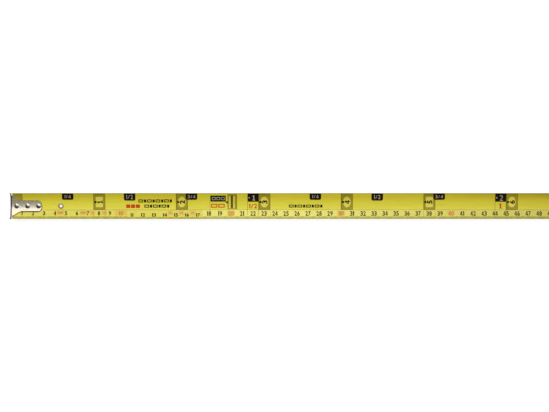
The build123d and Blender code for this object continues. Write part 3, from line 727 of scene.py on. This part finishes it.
# courses every 75 mm: tinted box, light shape, arrow and figure
shapes = ["", "rect", "circle", "ellipse", "circle", "rect", "circle", "rect"]
for k in range(0, 8):
    x0 = 75.0 * k
    x0 -= 0.1
    xl, xr = max(x0, 1.4), min(x0 + 10.8, LENGTH)
    olive.rect(xl, Y(209.8), xr, TOP - 0.16)
    if k == 7:
        edge.rect(xl, Y(209.8), xl + 0.8, TOP - 0.16)
        continue
    if k:
        edge.rect(xl, Y(209.8), xl + 0.8, TOP - 0.16)
        edge.rect(x0 + 10.3, Y(209.8), x0 + 10.8, TOP - 0.16)
        edge.rect(xl + 0.8, Y(209.8), x0 + 10.3, Y(209.3))
        for i in range(5):
            edge.rect(x0 + 1.7 + i * 1.7, Y(195.4), x0 + 2.3 + i * 1.7, TOP - 0.16)
        for xe in (x0, x0 + 10.8):
            yy = Y(211.0)
            while yy > Y(215.6):
                black1.rect(xe - 0.12, yy - 0.5, xe + 0.12, yy)
                yy -= 1.0
    else:
        continue
    cx, cy = x0 + 5.4, Y(202.2)
    kind = shapes[k]
    if kind == "rect":
        light.rrect(cx - 3.3, cy - 4.7, cx + 3.3, cy + 4.7, 1.0)
    elif kind == "circle":
        light.ellipse(cx, cy, 3.5, 4.8)
    else:
        light.ellipse(cx, cy, 3.6, 4.9)
    black2.poly([(x0 + 0.1, cy), (x0 + 2.6, cy - 1.35), (x0 + 2.6, cy - 0.3), (x0 + 3.4, cy - 0.3), (x0 + 3.4, cy + 0.3),
                 (x0 + 2.6, cy + 0.3), (x0 + 2.6, cy + 1.35)])
    if k == 1:
        turned = [(-1.3, -2.5), (1.3, -2.5), (1.3, -1.7), (0.55, -1.7), (0.55, 2.3), (-0.55, 2.3), (-1.25, 1.4), (-1.25, 0.5),
                  (-0.55, 1.0), (-0.55, -1.7), (-1.3, -1.7)]
        black2.poly([(x0 + 5.9 - v, cy + u) for u, v in turned])
    else:
        if k == 4:
            black2.four(x0 + 5.8, cy, 4.8, 3.3, 0.98, turn=90.0)
        else:
            black2.text(str(k), x0 + 5.8, cy, 4.8, 3.3, turn=90.0, bold=0.035 if k == 3 else 0.040)

# brick lengths every 225 mm, in quarters
q = 0
while True:
    q += 1
    xe = 56.25 * q
    if xe > LENGTH:
        break
    x0 = xe - 10.0
    if q % 4 == 0:
        black1.rect(x0, Y(201.9), xe, TOP)
        if q == 4:
            white.one(x0 + 5.7, Y(198.0), 4.7, 0.70, 0.62, 1.20)
        else:
            white.text(str(q // 4), x0 + 5.6, Y(198.2), 4.8, 3.0, bold=-0.012)
        white.poly([(x0 + 0.8, Y(197.9)), (x0 + 1.8, Y(197.9) - 0.95), (x0 + 1.8, Y(197.9) + 0.95)])
        if q == 4:
            red.fraction("1/2", x0 + 5.0, Y(206.2), 4.1, 2.7, 1.0, 0.75, 0.55, 0.025)
        else:
            red.one(x0 + 5.0, Y(206.1), 4.6, 1.25, 0.75, 1.35)
        for xl in (x0, xe):
            black1.rect(xl - 0.11, Y(215.0), xl + 0.11, Y(201.9))
    else:
        bot = Y(200.8) if q % 4 == 2 else Y(200.0)
        black1.rrect(x0 + 0.1, bot, xe + 0.6, TOP, 1.6, "ab")
        white.fraction({1: "1/4", 2: "1/2", 3: "3/4"}[q % 4], x0 + 5.3, (bot + TOP) / 2 - 0.1, 2.8 if q % 4 != 2 else 3.6, 2.1, 0.44, 0.34, 0.75)

# key beside the first whole brick: a brick, a block and the course lines, as pictograms
black1.rect(181.2, Y(201.8), 195.2, Y(195.7))
for i in range(3):
    white.frame(182.7 + i * 4.1, Y(200.2), 185.9 + i * 4.1, Y(197.3), 0.42)
for i in range(2):
    red.frame(181.8 + i * 6.6, Y(207.8), 187.6 + i * 6.6, Y(204.0), 0.85)
black1.rect(180.7, DIV, 180.9, Y(201.8))
olive.rect(196.8, Y(209.3), 205.4, Y(194.4))
edge.poly([(196.8, Y(194.9)), (204.9, Y(194.9)), (204.9, Y(209.3)), (205.4, Y(209.3)), (205.4, Y(194.4)), (196.8, Y(194.4))])
light.rect(198.0, Y(208.5), 199.6, Y(196.2))
light.rect(202.0, Y(208.5), 203.4, Y(196.2))
for i in range(7):
    black2.rect(199.9, Y(207.7 - i * 1.75), 201.6, Y(206.5 - i * 1.75))
black2.poly([(194.9, Y(202.4)), (196.9, Y(200.8)), (196.9, Y(204.0))])

# plain brick-bond ornament where wording would be
def courses(ink, x0, x1, y0, y1, t):
    """a run of long and short bricks in turn, the short ones solid"""
    x, i = x0, 0
    while True:
        w = 4.3 if i % 2 == 0 else 2.0
        if x + w > x1:
            break
        if i % 2 == 0:
            ink.frame(x, y0, x + w, y1, t)
        else:
            ink.rect(x, y0, x + w, y1)
        x += w + 0.75
        i += 1


courses(black1, 115.8, 147.8, Y(202.6), Y(199.6), 0.8)
courses(black1, 121.2, 144.2, Y(207.8), Y(204.8), 0.8)
courses(black1, 252.6, 284.0, Y(207.7), Y(204.8), 0.8)
for i in range(3):
    x = 104.6 + i * 4.4
    red.rrect(x, Y(208.2), x + 3.8, Y(204.6), 0.4)
# plain dashes on a warm tint between the first figures
for x, w in ((41.6, 6.6), (62.4, 6.6), (71.4, 5.2), (82.4, 5.2), (142.4, 4.8), (152.6, 4.8), (162.8, 4.8)):
    tint.rect(x, Y(215.3), x + w, Y(210.7))
    if w > 6:
        soft.rect(x + 0.9, Y(213.9), x + w - 0.9, Y(212.0))
    else:
        soft.rect(x + w / 2 - 1.3, Y(213.6), x + w / 2 + 1.3, Y(212.4))
tint.rect(94.6, Y(215.5), 105.2, Y(210.7))
for cm in (20, 30, 40, 50):
    tint.rect(cm * 10 - 3.4, Y(215.7), cm * 10 + 3.4, Y(211.0))

# painted shadow of the tongue of the hook: a dark line round the seated tongue, wider on its lower side, fitted to the
# photo: dirt or the shadow of the tongue, which is not known
HZ = 0.0
side = [(1.5, 9.12), (2.2, 8.68), (3.1, 8.1), (4.1, 7.45), (5.2, 6.75), (6.4, 6.02), (7.6, 5.45), (9.1, 4.98), (10.6, 4.8), (14.0, 4.8), (18.0, 4.8), (22.0, 4.8), (24.3, 4.8)]
side += [(24.3 + 3.5 * math.sin(math.radians(a)), 1.3 + 3.5 * math.cos(math.radians(a))) for a in range(10, 91, 10)]


def offset(pts, d):
    out = []
    for i, (x, y) in enumerate(pts):
        a, b2 = pts[max(i - 1, 0)], pts[min(i + 1, len(pts) - 1)]
        tx, ty = b2[0] - a[0], b2[1] - a[1]
        ln = math.hypot(tx, ty)
        out.append((x - ty / ln * d, y + tx / ln * d))
    return out


up_in, up_out = offset(side, -0.7), offset(side, 0.22)
lo_in = [(x, -y) for x, y in offset(side, -0.7)]
lo_out = [(x, -y) for x, y in offset(side, 0.72)]
for inn, out in ((up_in, up_out), (lo_in, lo_out)):
    for i in range(len(inn) - 1):
        tongue_shadow_ink.poly([inn[i], inn[i + 1], out[i + 1], out[i]])
tongue_shadow_ink.poly([up_in[-1], up_out[-1], lo_out[-1], lo_in[-1]])

for ink in (band, band2, olive, edge, tongue_shadow_ink, tint, soft, black1, orange, orange2, light, white, red, black2):
    ink.lay()

# ------------------------------------------------------------------ stage, light, camera
floor_me = bpy.data.meshes.new("floor")
s = 6.0
floor_me.from_pydata([(-s, -s, 0), (s, -s, 0), (s, s, 0), (-s, s, 0)], [], [(0, 1, 2, 3)])
floor = bpy.data.objects.new("floor", floor_me)
bpy.context.scene.collection.objects.link(floor)
fm, nt, b = new_mat("floor_white")
b.inputs["Base Color"].default_value = (0.9, 0.9, 0.9, 1)
b.inputs["Roughness"].default_value = 0.9
b.inputs["Specular IOR Level"].default_value = 0.0
b.inputs["Emission Color"].default_value = (1, 1, 1, 1)
far = nt.nodes.new("ShaderNodeVectorMath")
far.operation = "LENGTH"
nt.links.new(coords(nt), far.inputs[0])
# painted light: the floor is self-lit, more strongly under the blade so that the blade's shadow there is washed out,
# and less near the case
near_case = times(nt, remap(nt, xyz(nt)[0], 0.0, 1.0, -0.055, -0.005), remap(nt, far.outputs["Value"], 1.0, 0.0, 0.08, 0.26))
nt.links.new(remap(nt, near_case, 0.60, 0.46, 0.0, 1.0), b.inputs["Emission Strength"])
floor_me.materials.append(fm)

world = bpy.data.worlds.new("studio")
bpy.context.scene.world = world
world.use_nodes = True
wt = world.node_tree
wt.nodes.clear()
wo = wt.nodes.new("ShaderNodeOutputWorld")
bg = wt.nodes.new("ShaderNodeBackground")
tc = wt.nodes.new("ShaderNodeTexCoord")
side_light = wt.nodes.new("ShaderNodeVectorMath")
side_light.operation = "DOT_PRODUCT"
side_light.inputs[1].default_value = Vector((0.55, 0.65, 0.52)).normalized()
wt.links.new(tc.outputs["Generated"], side_light.inputs[0])
half = wt.nodes.new("ShaderNodeMath")
half.operation = "MULTIPLY_ADD"
half.inputs[1].default_value = 0.5
half.inputs[2].default_value = 0.5
wt.links.new(side_light.outputs["Value"], half.inputs[0])
mr = wt.nodes.new("ShaderNodeValToRGB")
el = mr.color_ramp.elements
for k in range(4):
    el.new(0.5)
for e, (pos, v) in zip(el, ((0.22, 0.01), (0.40, 0.07), (0.50, 0.37), (0.575, 0.56), (0.76, 0.70), (0.92, 0.92))):
    e.position = pos
    e.color = (v, v, v, 1)
wt.links.new(half.outputs[0], mr.inputs[0])
seen = wt.nodes.new("ShaderNodeLightPath")
pale = wt.nodes.new("ShaderNodeMix")
pale.data_type = "FLOAT"
wt.links.new(seen.outputs["Is Camera Ray"], pale.inputs[0])
wt.links.new(mr.outputs[0], pale.inputs[2])
pale.inputs[3].default_value = 1.0
wt.links.new(pale.outputs[0], bg.inputs["Color"])
bg.inputs["Strength"].default_value = 1.0
wt.links.new(bg.outputs[0], wo.inputs[0])


def area(name, loc, target, size, size_y, power, color=(1, 1, 1)):
    ld = bpy.data.lights.new(name, "AREA")
    ld.shape = "RECTANGLE"
    ld.size, ld.size_y = size, size_y
    ld.energy = power
    ld.color = color
    o = bpy.data.objects.new(name, ld)
    bpy.context.scene.collection.objects.link(o)
    o.location = loc
    o.rotation_mode = "QUATERNION"
    o.rotation_quaternion = (Vector(target) - Vector(loc)).to_track_quat("-Z", "Y")
    return o


area("key", (-0.34, 0.62, 1.52), (-0.32, 0, 0), 1.8, 0.85, 8.1)
area("hook_card", (-0.85, 1.08, 1.08), (-0.55, 0, 0), 0.6, 0.5, 2.0)
fill = area("fill", (0.35, -1.5, 0.55), (-0.1, 0, 0.02), 1.2, 0.8, 3.0)
fill.visible_glossy = False

cam_d = bpy.data.cameras.new("camera")
cam = bpy.data.objects.new("camera", cam_d)
bpy.context.scene.collection.objects.link(cam)
bpy.context.scene.camera = cam
cam_d.sensor_width = 36.0
cam_d.lens = 173.2
DIST = 2.4
cam_d.clip_start, cam_d.clip_end = 0.05, 50.0
cam.location = ((ZERO + 239.5) * MM, 0.0, 11.0 * MM + DIST)
cam.rotation_euler = (0, 0, 0)
bpy.context.scene.view_settings.view_transform = "Standard"
